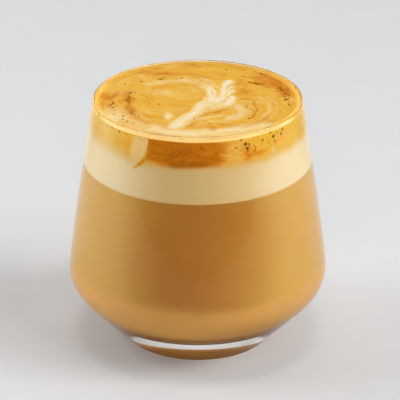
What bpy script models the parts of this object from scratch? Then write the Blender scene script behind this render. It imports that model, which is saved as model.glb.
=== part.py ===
"""Flat white in a clear glass that widens towards a rounded shoulder.

Metres, +Z up. The origin is the middle of the circle that the glass stands on,
and -Y is the drinker's side. Four solids: the glass, and inside it the milky
coffee, the band of milk foam and the crema with its poured leaf.
"""
import math

import bmesh
import bpy

# Glass, outside
GLASS_HEIGHT = 0.0880
RIM_RADIUS = 0.03583
LIP_THICKNESS = 0.0011
WALL_BOW = 0.00026
SHOULDER_CENTRE = (0.03204, 0.02563)
SHOULDER_ROUND = 0.01324
CHAMFER_SLOPE = math.radians(47.4)
FOOT_ROUND = 0.0016
RING_WIDTH = 0.0035
PUNT_DEPTH = 0.0011

# Glass, inside
BASE_THICKNESS = 0.0130
INNER_CORNER_ROUND = 0.0140
INNER_CORNER_RADIUS = 0.0288

# Drink
CLEARANCE = 0.0003
DRINK_LEVEL = 0.0869
COFFEE_LEVEL = 0.0652
CREMA_EDGE_LEVEL = 0.0788
MENISCUS_RISE = 0.0006
MENISCUS_REACH = 0.0008
MENISCUS_WIDTH = 0.0030

# Wave of the crema's lower edge round the glass, by angle from the drinker's side
EDGE_SWAY = 0.0016
EDGE_SWAY_TURN = math.radians(10)
EDGE_HUMP = 0.0024
EDGE_HUMP_ANGLE = math.radians(66)
EDGE_HUMP_SPREAD = math.radians(19)
EDGE_RIPPLE = 0.00025
EDGE_RIPPLE_COUNT = 7
EDGE_FADE_POWER = 4
STILL_SHARE = 0.55

# Poured leaf, in millimetres across and away from the drinker
LEAF_RISE = 0.00025
LEAF_DEPTH = 0.0010
MILLIMETRE = 0.001
LEAF_LEFT_SIDE = (
    (-10.3, -27.0), (-8.6, -23.0), (-7.3, -18.3), (-5.4, -14.8), (-2.6, -11.7), (-1.4, -8.1),
    (-0.4, -3.6), (1.2, -3.0), (2.6, 2.7), (3.9, 3.2), (3.7, 7.7), (4.5, 11.2), (5.8, 7.6), (6.4, 3.4),
    (8.0, 7.5), (9.3, 15.4),
)
LEAF_RIGHT_SIDE = (
    (11.0, 17.8), (12.0, 15.6), (11.5, 12.6), (12.4, 12.2), (11.3, 8.8), (12.8, 8.4), (10.9, 4.4),
    (12.6, 2.8), (12.7, -0.8), (11.9, -3.8), (9.6, -5.9), (8.4, -3.6), (5.0, -6.0), (2.2, -8.6), (0.3, -12.6),
    (-1.8, -16.3), (-4.2, -20.0), (-6.9, -23.8), (-8.6, -26.8),
)
DAB_CENTRE = (-9.7, -14.3)
DAB_HALF_SIZE = (1.7, 3.0)
DAB_POINTS = 14

# Fineness of the turned shapes
TURN_STEPS = 72
LIP_SEGMENTS = 6
SHOULDER_SEGMENTS = 7
FOOT_SEGMENTS = 3
CORNER_SEGMENTS = 10
WALL_RINGS = 4
PUNT_RINGS = 4
MENISCUS_RINGS = 5
TANGENT_ROUNDS = 8
SHARP_ANGLE = math.radians(35)
MERGE_DISTANCE = 0.00001


def arc(centre, radius, start, end, count):
    """Points from angle start to angle end round centre, both ends included."""
    angles = [start + (end - start) * i / count for i in range(count + 1)]
    return [(centre[0] + radius * math.cos(a), centre[1] + radius * math.sin(a)) for a in angles]


class Wall:
    """Bowed wall from a rim point down to an arc that it meets without a kink."""

    def __init__(self, top, centre, radius):
        self.top, self.centre, self.radius = top, centre, radius
        self.lean = 0.0
        for _ in range(TANGENT_ROUNDS):
            self.foot = (centre[0] + radius * math.cos(self.lean), centre[1] + radius * math.sin(self.lean))
            self.lean = math.atan2(self.foot[0] - top[0] - 4 * WALL_BOW, top[1] - self.foot[1])

    def at(self, z):
        """Radius of the wall at height z, on its arc below the tangent point."""
        if z < self.foot[1]:
            return self.centre[0] + math.sqrt(self.radius ** 2 - (z - self.centre[1]) ** 2)
        share = (z - self.foot[1]) / (self.top[1] - self.foot[1])
        return self.foot[0] + (self.top[0] - self.foot[0]) * share + 4 * WALL_BOW * share * (1 - share)

    def points(self, start_z, end_z):
        """Rings between two heights, both ends included."""
        heights = [start_z + (end_z - start_z) * i / WALL_RINGS for i in range(WALL_RINGS + 1)]
        return [(self.at(z), z) for z in heights]


LIP_ROUND = LIP_THICKNESS / 2
LIP_CENTRE = (RIM_RADIUS - LIP_ROUND, GLASS_HEIGHT - LIP_ROUND)
INNER_CORNER_CENTRE = (INNER_CORNER_RADIUS, BASE_THICKNESS + INNER_CORNER_ROUND)
OUTER_WALL = Wall((RIM_RADIUS, LIP_CENTRE[1]), SHOULDER_CENTRE, SHOULDER_ROUND)
INNER_WALL = Wall((RIM_RADIUS - LIP_THICKNESS, LIP_CENTRE[1]), INNER_CORNER_CENTRE, INNER_CORNER_ROUND)


def foot_centre_radius():
    """Radius of the rounding between the chamfer and the ring that the glass stands on."""
    out, down = math.sin(CHAMFER_SLOPE), math.cos(CHAMFER_SLOPE)
    chamfer_reach = SHOULDER_CENTRE[0] * out - SHOULDER_CENTRE[1] * down + SHOULDER_ROUND
    return (chamfer_reach - FOOT_ROUND + FOOT_ROUND * down) / out


def glass_profile():
    """Inside from the middle up to the lip, then outside down to the middle of the underside."""
    chamfer_angle = CHAMFER_SLOPE - math.pi / 2
    foot_radius = foot_centre_radius()
    punt_radius = foot_radius - RING_WIDTH
    inside = [(0, BASE_THICKNESS)]
    inside += arc(INNER_CORNER_CENTRE, INNER_CORNER_ROUND, -math.pi / 2, INNER_WALL.lean, CORNER_SEGMENTS)
    inside += INNER_WALL.points(INNER_WALL.foot[1], LIP_CENTRE[1])[1:]
    lip = arc(LIP_CENTRE, LIP_ROUND, math.pi, 0, LIP_SEGMENTS)[1:]
    outside = OUTER_WALL.points(LIP_CENTRE[1], OUTER_WALL.foot[1])[1:]
    outside += arc(SHOULDER_CENTRE, SHOULDER_ROUND, OUTER_WALL.lean, chamfer_angle, SHOULDER_SEGMENTS)[1:]
    outside += arc((foot_radius, FOOT_ROUND), FOOT_ROUND, chamfer_angle, -math.pi / 2, FOOT_SEGMENTS)
    punt_round = (punt_radius ** 2 + PUNT_DEPTH ** 2) / (2 * PUNT_DEPTH)
    punt_radii = [punt_radius * (1 - i / PUNT_RINGS) for i in range(PUNT_RINGS)]
    dome = [(r, math.sqrt(punt_round ** 2 - r ** 2) - punt_round + PUNT_DEPTH) for r in punt_radii]
    return inside + lip + outside + dome + [(0, PUNT_DEPTH)]


def coffee_profile():
    """Down the inside of the glass, at the clearance from it, and across its rounded bottom."""
    top = COFFEE_LEVEL - CLEARANCE / 2
    side = [(r - CLEARANCE, z) for r, z in INNER_WALL.points(top, INNER_WALL.foot[1])]
    corner_round = INNER_CORNER_ROUND - CLEARANCE
    corner = arc(INNER_CORNER_CENTRE, corner_round, INNER_WALL.lean, -math.pi / 2, CORNER_SEGMENTS)[1:]
    return [(0, top)] + side + corner + [(0, BASE_THICKNESS + CLEARANCE)]


def foam_profile():
    """Plain band between the coffee and the crema, before its upper edge is waved."""
    top = CREMA_EDGE_LEVEL - CLEARANCE / 2
    bottom = COFFEE_LEVEL + CLEARANCE / 2
    side = [(r - CLEARANCE, z) for r, z in INNER_WALL.points(top, bottom)]
    return [(0, top), (side[0][0] * STILL_SHARE, top)] + side + [(0, bottom)]


def crema_profile():
    """Level top that climbs the glass at its edge, before the lower edge is waved."""
    bottom = CREMA_EDGE_LEVEL + CLEARANCE / 2
    edge_top = DRINK_LEVEL + MENISCUS_RISE
    side = [(r - CLEARANCE, z) for r, z in INNER_WALL.points(edge_top, bottom)]
    edge_radius = side[0][0]
    reaches = [MENISCUS_WIDTH * (1 - i / MENISCUS_RINGS) for i in range(MENISCUS_RINGS)]
    meniscus = [(edge_radius - d, DRINK_LEVEL + MENISCUS_RISE * math.exp(-d / MENISCUS_REACH)) for d in reaches]
    level = [(0, DRINK_LEVEL), (edge_radius - 2 * MENISCUS_WIDTH, DRINK_LEVEL)]
    return level + meniscus + side + [(side[-1][0] * STILL_SHARE, bottom), (0, bottom)]


def edge_lift(angle):
    """How far the crema's lower edge stands above its mean level, by angle from the drinker's side."""
    off_hump = math.remainder(angle - EDGE_HUMP_ANGLE, 2 * math.pi)
    return (
        -EDGE_SWAY * math.cos(angle + EDGE_SWAY_TURN)
        + EDGE_HUMP * math.exp(-(off_hump / EDGE_HUMP_SPREAD) ** 2)
        + EDGE_RIPPLE * math.sin(EDGE_RIPPLE_COUNT * angle)
    )


def material(name, colour, roughness, metallic=0.0):
    """Principled material of one colour."""
    mat = bpy.data.materials.new(name)
    mat.use_nodes = True
    shader = mat.node_tree.nodes["Principled BSDF"]
    shader.inputs["Base Color"].default_value = (*colour, 1)
    shader.inputs["Roughness"].default_value = roughness
    shader.inputs["Metallic"].default_value = metallic
    return mat


def turned(name, profile, mat, collection):
    """Solid of revolution about the vertical axis."""
    mesh = bpy.data.meshes.new(name)
    count = len(profile)
    mesh.from_pydata([(r, 0, z) for r, z in profile], [(i, i + 1) for i in range(count - 1)], [])
    obj = bpy.data.objects.new(name, mesh)
    collection.objects.link(obj)
    screw = obj.modifiers.new("turn", "SCREW")
    screw.steps = TURN_STEPS
    screw.render_steps = TURN_STEPS
    screw.use_merge_vertices = True
    screw.merge_threshold = MERGE_DISTANCE
    screw.use_smooth_shade = True
    mesh.materials.append(mat)
    return obj


def settled(obj):
    """Replace an object's mesh by its evaluated shape, and drop its modifiers."""
    evaluated = obj.evaluated_get(bpy.context.evaluated_depsgraph_get())
    mesh = bpy.data.meshes.new_from_object(evaluated)
    mesh.name = obj.name
    obj.modifiers.clear()
    obj.data = mesh
    return mesh


def wave_edge(obj, still_z, moving_z):
    """Wave the crema's lower edge into a turned solid, from nothing at still_z to all of it at moving_z."""
    mesh = settled(obj)
    for vertex in mesh.vertices:
        x, y, z = vertex.co
        radius = math.hypot(x, y)
        wall = INNER_WALL.at(z) - CLEARANCE
        share = min(max((z - still_z) / (moving_z - still_z), 0.0), 1.0)
        on_wall = radius > wall - CLEARANCE
        if share == 0.0 or radius < MERGE_DISTANCE or not (on_wall or share == 1.0):
            continue
        z += edge_lift(math.atan2(x, -y)) * share * (radius / wall) ** EDGE_FADE_POWER
        if on_wall:
            scale = (INNER_WALL.at(z) - CLEARANCE) / radius
            x, y = x * scale, y * scale
        vertex.co = (x, y, z)


def outline_prism(name, points, collection):
    """Flat outline in millimetres, thickened so that it stands LEAF_RISE above the drink."""
    curve = bpy.data.curves.new(name, "CURVE")
    curve.dimensions = "2D"
    curve.fill_mode = "BOTH"
    curve.extrude = (LEAF_RISE + LEAF_DEPTH) / 2
    spline = curve.splines.new("POLY")
    spline.points.add(len(points) - 1)
    for point, (x, y) in zip(spline.points, points):
        point.co = (x * MILLIMETRE, y * MILLIMETRE, 0, 1)
    spline.use_cyclic_u = True
    curve_obj = bpy.data.objects.new(name + "_outline", curve)
    curve_obj.location.z = DRINK_LEVEL + (LEAF_RISE - LEAF_DEPTH) / 2
    collection.objects.link(curve_obj)
    bpy.context.view_layer.update()
    mesh = bpy.data.meshes.new_from_object(curve_obj.evaluated_get(bpy.context.evaluated_depsgraph_get()))
    work = bmesh.new()
    work.from_mesh(mesh)
    bmesh.ops.remove_doubles(work, verts=work.verts, dist=MERGE_DISTANCE)
    bmesh.ops.recalc_face_normals(work, faces=work.faces)
    work.to_mesh(mesh)
    work.free()
    prism = bpy.data.objects.new(name, mesh)
    prism.matrix_world = curve_obj.matrix_world
    bpy.data.objects.remove(curve_obj)
    collection.objects.link(prism)
    prism.hide_render = True
    prism.display_type = "WIRE"
    return prism


def dab_outline():
    """Oval dab of milk beside the leaf's stalk."""
    turns = [2 * math.pi * i / DAB_POINTS for i in range(DAB_POINTS)]
    return [
        (DAB_CENTRE[0] + DAB_HALF_SIZE[0] * math.cos(a), DAB_CENTRE[1] + DAB_HALF_SIZE[1] * math.sin(a))
        for a in turns
    ]


def fuse(obj, prism):
    """Join a raised shape to the solid that it lies on."""
    union = obj.modifiers.new("fuse_" + prism.name, "BOOLEAN")
    union.operation = "UNION"
    union.object = prism


def build_glass(collection):
    glass = turned("glass", glass_profile(), material("clear_glass", (0.93, 0.95, 0.94), 0.03), collection)
    mesh = settled(glass)
    mesh.set_sharp_from_angle(angle=SHARP_ANGLE)


def build_coffee(collection):
    turned("coffee", coffee_profile(), material("milky_coffee", (0.55, 0.30, 0.11), 0.4), collection)


def build_milk_foam(collection):
    foam = turned("milk_foam", foam_profile(), material("milk_foam", (0.82, 0.62, 0.36), 0.5), collection)
    wave_edge(foam, COFFEE_LEVEL + CLEARANCE / 2, CREMA_EDGE_LEVEL - CLEARANCE / 2)


def build_crema(collection, cutters):
    crema = turned("crema", crema_profile(), material("crema", (0.70, 0.38, 0.09), 0.35), collection)
    wave_edge(crema, DRINK_LEVEL, CREMA_EDGE_LEVEL + CLEARANCE / 2)
    fuse(crema, outline_prism("poured_leaf", LEAF_LEFT_SIDE + LEAF_RIGHT_SIDE, cutters))
    fuse(crema, outline_prism("milk_dab", dab_outline(), cutters))


def main():
    for obj in list(bpy.data.objects):
        bpy.data.objects.remove(obj)
    collection = bpy.data.collections.new("flat_white")
    cutters = bpy.data.collections.new("flat_white_shapers")
    bpy.context.scene.collection.children.link(collection)
    bpy.context.scene.collection.children.link(cutters)
    build_glass(collection)
    build_coffee(collection)
    build_milk_foam(collection)
    build_crema(collection, cutters)


main()
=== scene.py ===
"""Flat white in its clear tapered glass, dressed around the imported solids.

The glass is turned again with fine steps. The drink's layers reach just into its
wall, and the foam's pattern is worked out point by point and stored on the mesh.
"""
import math

import bpy
import numpy as np
from bpy.props import FloatProperty, FloatVectorProperty, IntProperty, PointerProperty
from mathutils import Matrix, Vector


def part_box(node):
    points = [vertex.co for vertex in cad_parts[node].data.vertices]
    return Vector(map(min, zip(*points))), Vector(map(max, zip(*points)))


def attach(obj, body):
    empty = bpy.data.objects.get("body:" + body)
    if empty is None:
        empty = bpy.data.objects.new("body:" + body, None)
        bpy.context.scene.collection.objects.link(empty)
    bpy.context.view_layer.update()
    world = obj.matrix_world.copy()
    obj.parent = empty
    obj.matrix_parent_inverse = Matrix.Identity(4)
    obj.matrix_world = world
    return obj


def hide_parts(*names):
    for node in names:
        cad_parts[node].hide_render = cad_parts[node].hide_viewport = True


bl_info = {
    "name": "Flat white in a glass",
    "version": (1, 0, 0),
    "blender": (4, 5, 0),
    "location": "3D View > Sidebar > Flat white",
    "description": "Turns the glass, pours the drink with its pattern, and sets light and camera",
    "category": "Add Mesh",
}

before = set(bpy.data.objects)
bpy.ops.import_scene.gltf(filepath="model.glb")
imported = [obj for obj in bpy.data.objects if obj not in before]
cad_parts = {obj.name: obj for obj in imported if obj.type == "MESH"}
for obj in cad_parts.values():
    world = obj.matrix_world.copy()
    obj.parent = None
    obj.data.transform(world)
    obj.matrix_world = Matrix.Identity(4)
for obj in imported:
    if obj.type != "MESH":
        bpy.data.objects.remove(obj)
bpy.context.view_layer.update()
GLASS_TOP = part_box("glass")[1].z
COFFEE_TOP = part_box("coffee")[1].z
FOAM_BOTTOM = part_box("milk_foam")[0].z

MM = 0.001
BODY = "root"
EMBED = 0.00015  # how far the drink reaches into the glass's wall
ROUNDED_BAND = 0.004  # height of wall over which the rounding of the drink's edge is spread
ON_WALL = 0.00002  # points this near to the wall lie on it
FAR_ABOVE_EDGE = 9.0  # stored for points of the top, which no fade of the crema's edge reaches
SAME_POINT = 1e-6
SMOOTH_ANGLE = math.radians(40)

# Steps round the axis, faces across the drink's top, and steps along each stretch of a turned profile
TURN_STEPS = 256
DISC_SPAN = 200
DISC_STEPS = 4 * DISC_SPAN
CORNER_STEPS, WALL_STEPS, LIP_STEPS, SHOULDER_STEPS, FOOT_STEPS, PUNT_STEPS = 28, 14, 12, 24, 8, 10
COFFEE_STEPS, FOAM_STEPS, CREMA_STEPS = 12, 36, 30
INNER_RINGS = 0.8, 0.55  # rings on the level faces between two layers, as shares of their radius


def length_property(name, text, value):
    return FloatProperty(name=name, description=text, default=value, unit="LENGTH")


class GlassSizes(bpy.types.PropertyGroup):
    """Sizes of the glass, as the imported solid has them."""

    rim_radius: length_property("Rim radius", "Outside, at the lip", 0.03583)
    lip: length_property("Lip", "Thickness of the rounded lip", 0.0011)
    bow: length_property("Bow", "How far the wall bows out", 0.00026)
    shoulder_radius: length_property("Shoulder radius", "From the axis to its arc's middle", 0.03204)
    shoulder_height: length_property("Shoulder height", "Height of its arc's middle", 0.02563)
    shoulder_round: length_property("Shoulder rounding", "Radius of the shoulder's arc", 0.01324)
    chamfer: FloatProperty(
        name="Chamfer", description="Slope of the cone under the shoulder, from level",
        default=math.radians(47.4), unit="ROTATION")
    foot_round: length_property("Foot rounding", "Between the cone and the ring it stands on", 0.0016)
    ring_width: length_property("Ring width", "Flat ring that touches the table", 0.0035)
    punt: length_property("Punt", "Hollow under the base", 0.0011)
    base: length_property("Base", "Clear glass under the drink", 0.0130)
    corner_round: length_property("Inner rounding", "Radius of the inside's lower corner", 0.0140)
    corner_radius: length_property("Inner flat", "Radius of the level inside bottom", 0.0288)


class DrinkSizes(bpy.types.PropertyGroup):
    """Levels of the drink and the wave of the crema's lower edge."""

    level: length_property("Level", "Top of the drink, off the wall", 0.0869)
    coffee_level: length_property("Coffee level", "Where the foam begins", (COFFEE_TOP + FOAM_BOTTOM) / 2)
    crema_edge: length_property("Crema edge", "Mean height of the crema's lower edge", 0.0788)
    edge_drop: length_property("Edge drop", "How far the foam rounds down to the glass in front", 0.00075)
    edge_climb: length_property("Edge climb", "How far the foam clings to the glass at the back", 0.0007)
    edge_reach: length_property("Edge reach", "How fast drop and climb fade from the wall", 0.0009)
    leaf_rise: length_property("Leaf rise", "How far the poured leaf stands up", 0.00025)
    bubbles: IntProperty(name="Bubble seed", description="Draw of the bubbles' places", default=11, subtype="UNSIGNED")


def colour_property(name, text, value):
    return FloatVectorProperty(
        name=name, description=text, default=value, subtype="COLOR", size=3, min=0, max=1)


class Finishes(bpy.types.PropertyGroup):
    """Colours of the drink and of the stage."""

    coffee: colour_property("Coffee", "Milky coffee where it curves away", (0.68, 0.395, 0.070))
    # Painted shade: darker coffee where it faces the eye, for the shade that the side lights leave in front
    coffee_shaded_front: colour_property("Deep coffee", "Milky coffee that faces the eye", (0.49, 0.193, 0.029))
    # Painted light: paler coffee in the rounded lower corner, for light that comes up through the thick base
    coffee_lit_corner: colour_property("Light coffee", "Coffee in the rounded lower corner", (0.83, 0.44, 0.112))
    # Painted shade: dark coffee on the level inside bottom, where the thick base keeps light away
    coffee_shaded_bottom: colour_property("Underside", "Coffee on the inside's level bottom", (0.58, 0.24, 0.018))
    foam: colour_property("Milk foam", "Band under the crema where it curves away", (0.85, 0.705, 0.435))
    # Painted shade: darker foam where the band faces the eye
    foam_shaded_front: colour_property("Deep foam", "The same band where it faces the eye", (0.74, 0.52, 0.235))
    gold: colour_property("Gold", "Crema as it mostly is", (0.83, 0.43, 0.041))
    light_gold: colour_property("Light gold", "Paler marbling in the crema", (0.87, 0.53, 0.080))
    side_gold: colour_property("Side gold", "Crema seen through the glass's sides", (0.76, 0.455, 0.018))
    amber: colour_property("Amber", "Darker marbling in the crema", (0.76, 0.34, 0.018))
    rust: colour_property("Rust", "Stained crema", (0.66, 0.22, 0.004))
    brown: colour_property("Brown", "Specks, and crema where it is darkest", (0.50, 0.15, 0.003))
    cream: colour_property("Cream", "Milk mixed into the crema", (0.92, 0.68, 0.29))
    milk: colour_property("Milk", "Poured leaf at its palest", (0.96, 0.77, 0.51))
    bubble: colour_property("Bubble", "Larger bubbles", (0.135, 0.028, 0.0006))
    floor: colour_property("Floor", "Pale floor", (0.79, 0.80, 0.81))


# Shapes


def arc(centre, radius, start, end, count):
    """Points from angle start to angle end round centre, both ends included."""
    angles = [start + (end - start) * i / count for i in range(count + 1)]
    return [(centre[0] + radius * math.cos(a), centre[1] + radius * math.sin(a)) for a in angles]


class Wall:
    """Bowed wall from a rim point down to an arc that it meets without a kink."""

    def __init__(self, top, centre, radius, bow):
        self.top, self.centre, self.radius, self.bow = top, centre, radius, bow
        self.lean = 0.0
        for _ in range(8):
            self.foot = (centre[0] + radius * math.cos(self.lean), centre[1] + radius * math.sin(self.lean))
            self.lean = math.atan2(self.foot[0] - top[0] - 4 * bow, top[1] - self.foot[1])

    def at(self, z):
        """Radius of the wall at height z, above its arc. Takes a number or an array."""
        share = (z - self.foot[1]) / (self.top[1] - self.foot[1])
        return self.foot[0] + (self.top[0] - self.foot[0]) * share + 4 * self.bow * share * (1 - share)

    def points(self, start_z, end_z, count):
        heights = [start_z + (end_z - start_z) * i / count for i in range(count + 1)]
        return [(self.at(z), z) for z in heights]


def walls(glass):
    """Outer and inner wall of the glass."""
    lip_z = GLASS_TOP - glass.lip / 2
    shoulder = (glass.shoulder_radius, glass.shoulder_height)
    corner = (glass.corner_radius, glass.base + glass.corner_round)
    outer = Wall((glass.rim_radius, lip_z), shoulder, glass.shoulder_round, glass.bow)
    inner = Wall((glass.rim_radius - glass.lip, lip_z), corner, glass.corner_round, glass.bow)
    return outer, inner


def glass_profile(glass):
    """Inside from the middle up to the lip, then outside down to the middle of the underside."""
    outer, inner = walls(glass)
    slope = glass.chamfer
    low_angle = slope - math.pi / 2
    reach = outer.centre[0] * math.sin(slope) - outer.centre[1] * math.cos(slope) + outer.radius
    foot_radius = (reach - glass.foot_round + glass.foot_round * math.cos(slope)) / math.sin(slope)
    punt_radius = foot_radius - glass.ring_width
    punt_round = (punt_radius ** 2 + glass.punt ** 2) / (2 * glass.punt)
    lip_centre = (glass.rim_radius - glass.lip / 2, GLASS_TOP - glass.lip / 2)
    points = [(0, glass.base)]
    points += arc(inner.centre, inner.radius, -math.pi / 2, inner.lean, CORNER_STEPS)
    points += inner.points(inner.foot[1], lip_centre[1], WALL_STEPS)[1:]
    points += arc(lip_centre, glass.lip / 2, math.pi, 0, LIP_STEPS)[1:]
    points += outer.points(lip_centre[1], outer.foot[1], WALL_STEPS)[1:]
    points += arc(outer.centre, outer.radius, outer.lean, low_angle, SHOULDER_STEPS)[1:]
    points += arc((foot_radius, glass.foot_round), glass.foot_round, low_angle, -math.pi / 2, FOOT_STEPS)
    for i in range(PUNT_STEPS):
        r = punt_radius * (1 - i / PUNT_STEPS)
        points.append((r, math.sqrt(punt_round ** 2 - r ** 2) - punt_round + glass.punt))
    return points + [(0, glass.punt)]


def apply_transform():
    bpy.ops.object.transform_apply(location=True, rotation=True, scale=True)


def edit_all():
    """Enter edit mode with everything selected."""
    bpy.ops.object.mode_set(mode="EDIT")
    bpy.ops.mesh.select_all(action="SELECT")


def start_ring(radius, z, steps, fill):
    """Circle in edit mode with all of it selected."""
    if bpy.context.object and bpy.context.object.mode != "OBJECT":
        bpy.ops.object.mode_set(mode="OBJECT")
    bpy.ops.object.select_all(action="DESELECT")
    bpy.ops.mesh.primitive_circle_add(
        vertices=steps, radius=radius, location=(0, 0, z), fill_type=fill)
    apply_transform()
    edit_all()
    return bpy.context.object


def draw_on(rings, last):
    """Extrude the selected ring of edges from the (radius, height) of last through each of rings."""
    for r, z in rings:
        bpy.ops.mesh.extrude_edges_move(TRANSFORM_OT_translate={"value": (0, 0, z - last[1])})
        share = r / last[0]
        if abs(share - 1) > 1e-9:
            bpy.ops.transform.resize(value=(share, share, 1), center_override=(0, 0, z))
        last = (r, z)
    return last


def close_pole(z, last):
    """End the selected ring in one point on the axis at height z."""
    bpy.ops.mesh.extrude_edges_move(TRANSFORM_OT_translate={"value": (0, 0, z - last[1])})
    bpy.ops.mesh.merge(type="CENTER")


def finish_piece(obj, name, node, mat):
    """Leave edit mode, point the faces out, shade smooth, and tie the piece to the frame."""
    bpy.ops.mesh.select_all(action="SELECT")
    bpy.ops.mesh.remove_doubles(threshold=SAME_POINT)
    bpy.ops.mesh.normals_make_consistent(inside=False)
    bpy.ops.object.mode_set(mode="OBJECT")
    obj.name = name
    obj.data.name = name
    bpy.ops.object.shade_smooth_by_angle(angle=SMOOTH_ANGLE)
    obj.data.materials.append(mat)
    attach(obj, BODY)
    if node:
        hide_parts(node)


def turn(profile):
    """Turn a profile that starts and ends on the axis, ring by ring."""
    obj = start_ring(*profile[1], TURN_STEPS, "TRIFAN")
    bpy.ops.object.mode_set(mode="OBJECT")
    for vertex in obj.data.vertices:
        if math.hypot(vertex.co.x, vertex.co.y) < SAME_POINT:
            vertex.co.z = profile[0][1]
    edit_all()
    bpy.ops.mesh.region_to_loop()
    last = draw_on(profile[2:-1], profile[1])
    close_pole(profile[-1][1], last)
    return obj


# Pattern of the foam, in millimetres across and away from the drinker

LEAF = np.array([
    (-10.0, -25.4), (-9.0, -23.0), (-8.2, -21.2), (-7.5, -19.4), (-6.9, -17.6), (-5.6, -15.8),
    (-4.2, -13.8), (-2.9, -12.0), (-2.0, -10.0), (-1.3, -7.6), (-0.7, -5.4), (0.0, -3.6),
    (0.9, -2.2), (2.0, -1.0), (2.4, 1.6), (3.3, 3.0), (3.2, 7.0), (3.2, 9.8),
    (4.0, 11.8), (5.2, 10.4), (6.3, 7.8), (6.7, 4.6), (7.7, 4.4), (8.1, 9.0),
    (8.8, 14.4), (9.6, 17.0), (11.0, 18.2), (12.2, 17.0), (12.2, 14.6), (11.6, 13.2),
    (12.4, 12.2), (12.2, 10.0), (12.8, 8.4), (12.3, 6.4), (11.4, 4.4), (12.5, 3.0),
    (12.9, 0.4), (12.6, -2.2), (11.8, -4.2), (10.4, -5.8), (9.2, -5.8), (8.0, -3.6),
    (6.0, -4.8), (4.4, -6.8), (3.0, -8.8), (2.0, -10.6), (0.9, -12.4), (0.0, -14.2),
    (-0.9, -16.0), (-1.9, -18.0), (-3.0, -19.8), (-4.0, -21.8), (-5.1, -23.6), (-6.8, -25.6),
    (-8.6, -26.2),
])
DAB = (-9.8, -14.8, 1.9, 4.2)  # middle, half width and half length
LEFT_SWIRL = (-5.0, 6.0)
RIGHT_SWIRL = (17.5, -9.0)

# Strokes: half width, strength, and the points they run through
LEAF_LIGHTS = (
    (1.7, 0.6, (
        (-7.8, -24.2), (-6.1, -20.6), (-4.5, -17.6), (-2.9, -14.6), (-1.0, -11.4), (0.2, -8.4), (0.6, -5.4))),
    (0.6, 0.75, ((4.1, 1.6), (4.2, 4.4), (3.7, 8.2), (4.0, 11.0))),
    (0.5, 0.6, ((6.1, 5.4), (5.7, 7.6), (4.9, 9.8), (4.2, 11.4))),
    (0.8, 0.75, ((8.7, 3.6), (9.1, 8.6), (9.6, 12.8), (10.2, 16.6))),
    (0.6, 0.9, ((10.6, 14.0), (11.4, 16.6))),
    (0.5, 0.7, ((9.8, 6.4), (10.6, 9.2), (11.8, 11.8))),
    (0.6, 0.9, ((10.2, 3.4), (11.2, 6.0), (12.3, 8.2))),
    (0.9, 0.9, ((9.2, -5.0), (10.7, -2.6), (11.8, -0.2), (12.4, 2.0))),
    (1.5, 0.85, ((4.4, -0.4), (6.6, -1.0), (8.4, 0.4))),
)
LEAF_DARKS = (
    (0.42, 0.85, ((8.7, -3.2), (9.3, -0.8), (10.4, 1.8), (11.8, 4.4))),
    (0.38, 0.85, ((9.8, 8.8), (10.7, 11.2), (11.4, 13.6))),
    (0.36, 0.75, ((9.2, 3.4), (10.5, 6.8), (11.9, 10.2))),
    (0.34, 0.36, ((-7.6, -22.6), (-5.9, -19.2), (-4.4, -16.2), (-2.7, -13.0), (-1.2, -9.6), (0.2, -6.0))),
    (0.34, 0.4, ((-5.0, -22.6), (-3.4, -19.4), (-1.7, -16.0), (0.2, -12.8), (1.8, -9.8), (4.0, -6.4))),
    (0.3, 0.3, ((2.0, -8.0), (3.6, -4.8), (5.4, -1.8), (6.6, 1.2))),
    (0.4, 0.55, ((2.8, -1.6), (3.4, 1.0), (3.7, 2.8))),
    (0.5, 0.4, ((4.8, 4.6), (4.9, 7.8))),
    (0.6, 0.45, ((7.0, 1.8), (7.2, 4.6))),
)
PALE = (
    (2.2, 0.36, ((-17, 14.4), (-12, 16.6), (-7, 18), (-2, 17.4), (2, 14.6), (4.2, 10))),
    (1.6, 0.26, ((1.6, 20), (4.4, 16.4), (5.0, 11.5))),
    (3.0, 0.1, ((-29, 9), (-25, 14.5), (-19, 18.5))),
    (3.4, 0.08, ((-28, 14), (-22, 21), (-15, 26))),
    (5.0, 0.34, ((-29, -10), (-25, -17), (-18, -23), (-10, -28))),
    (3.2, 0.62, ((-14, -26), (-8, -28.4), (-1, -30.4))),
    (1.8, 0.62, ((7.6, -27.6), (10.5, -26.2), (12.6, -26.4))),
    (7.0, 0.09, ((-9, 5), (-3, 4))),
    (3.6, 0.42, ((0, -29.5), (8, -29.6), (16, -26.6), (22, -22))),
    (0.7, 0.4, ((-2.6, -19.0), (1.4, -16.9), (5.4, -15.4), (8.4, -13.4))),
    (2.6, 0.42, ((2.6, -9.6), (5.4, -7.0), (8.0, -5.8))),
    (2.4, 0.42, ((13.8, -6.8), (15.4, -9.6), (14.0, -14.0), (10.4, -17.0))),
    (1.8, 0.22, ((0, -22), (5, -19.6), (9, -19.4))),
    (0.9, 0.24, ((20.6, 2.4), (24.4, -3.0), (24.0, -11.4), (20.0, -18.8))),
    (0.8, 0.2, ((23.2, 3.4), (27.0, -3.0), (26.2, -12.4), (22.4, -19.4))),
)
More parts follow.
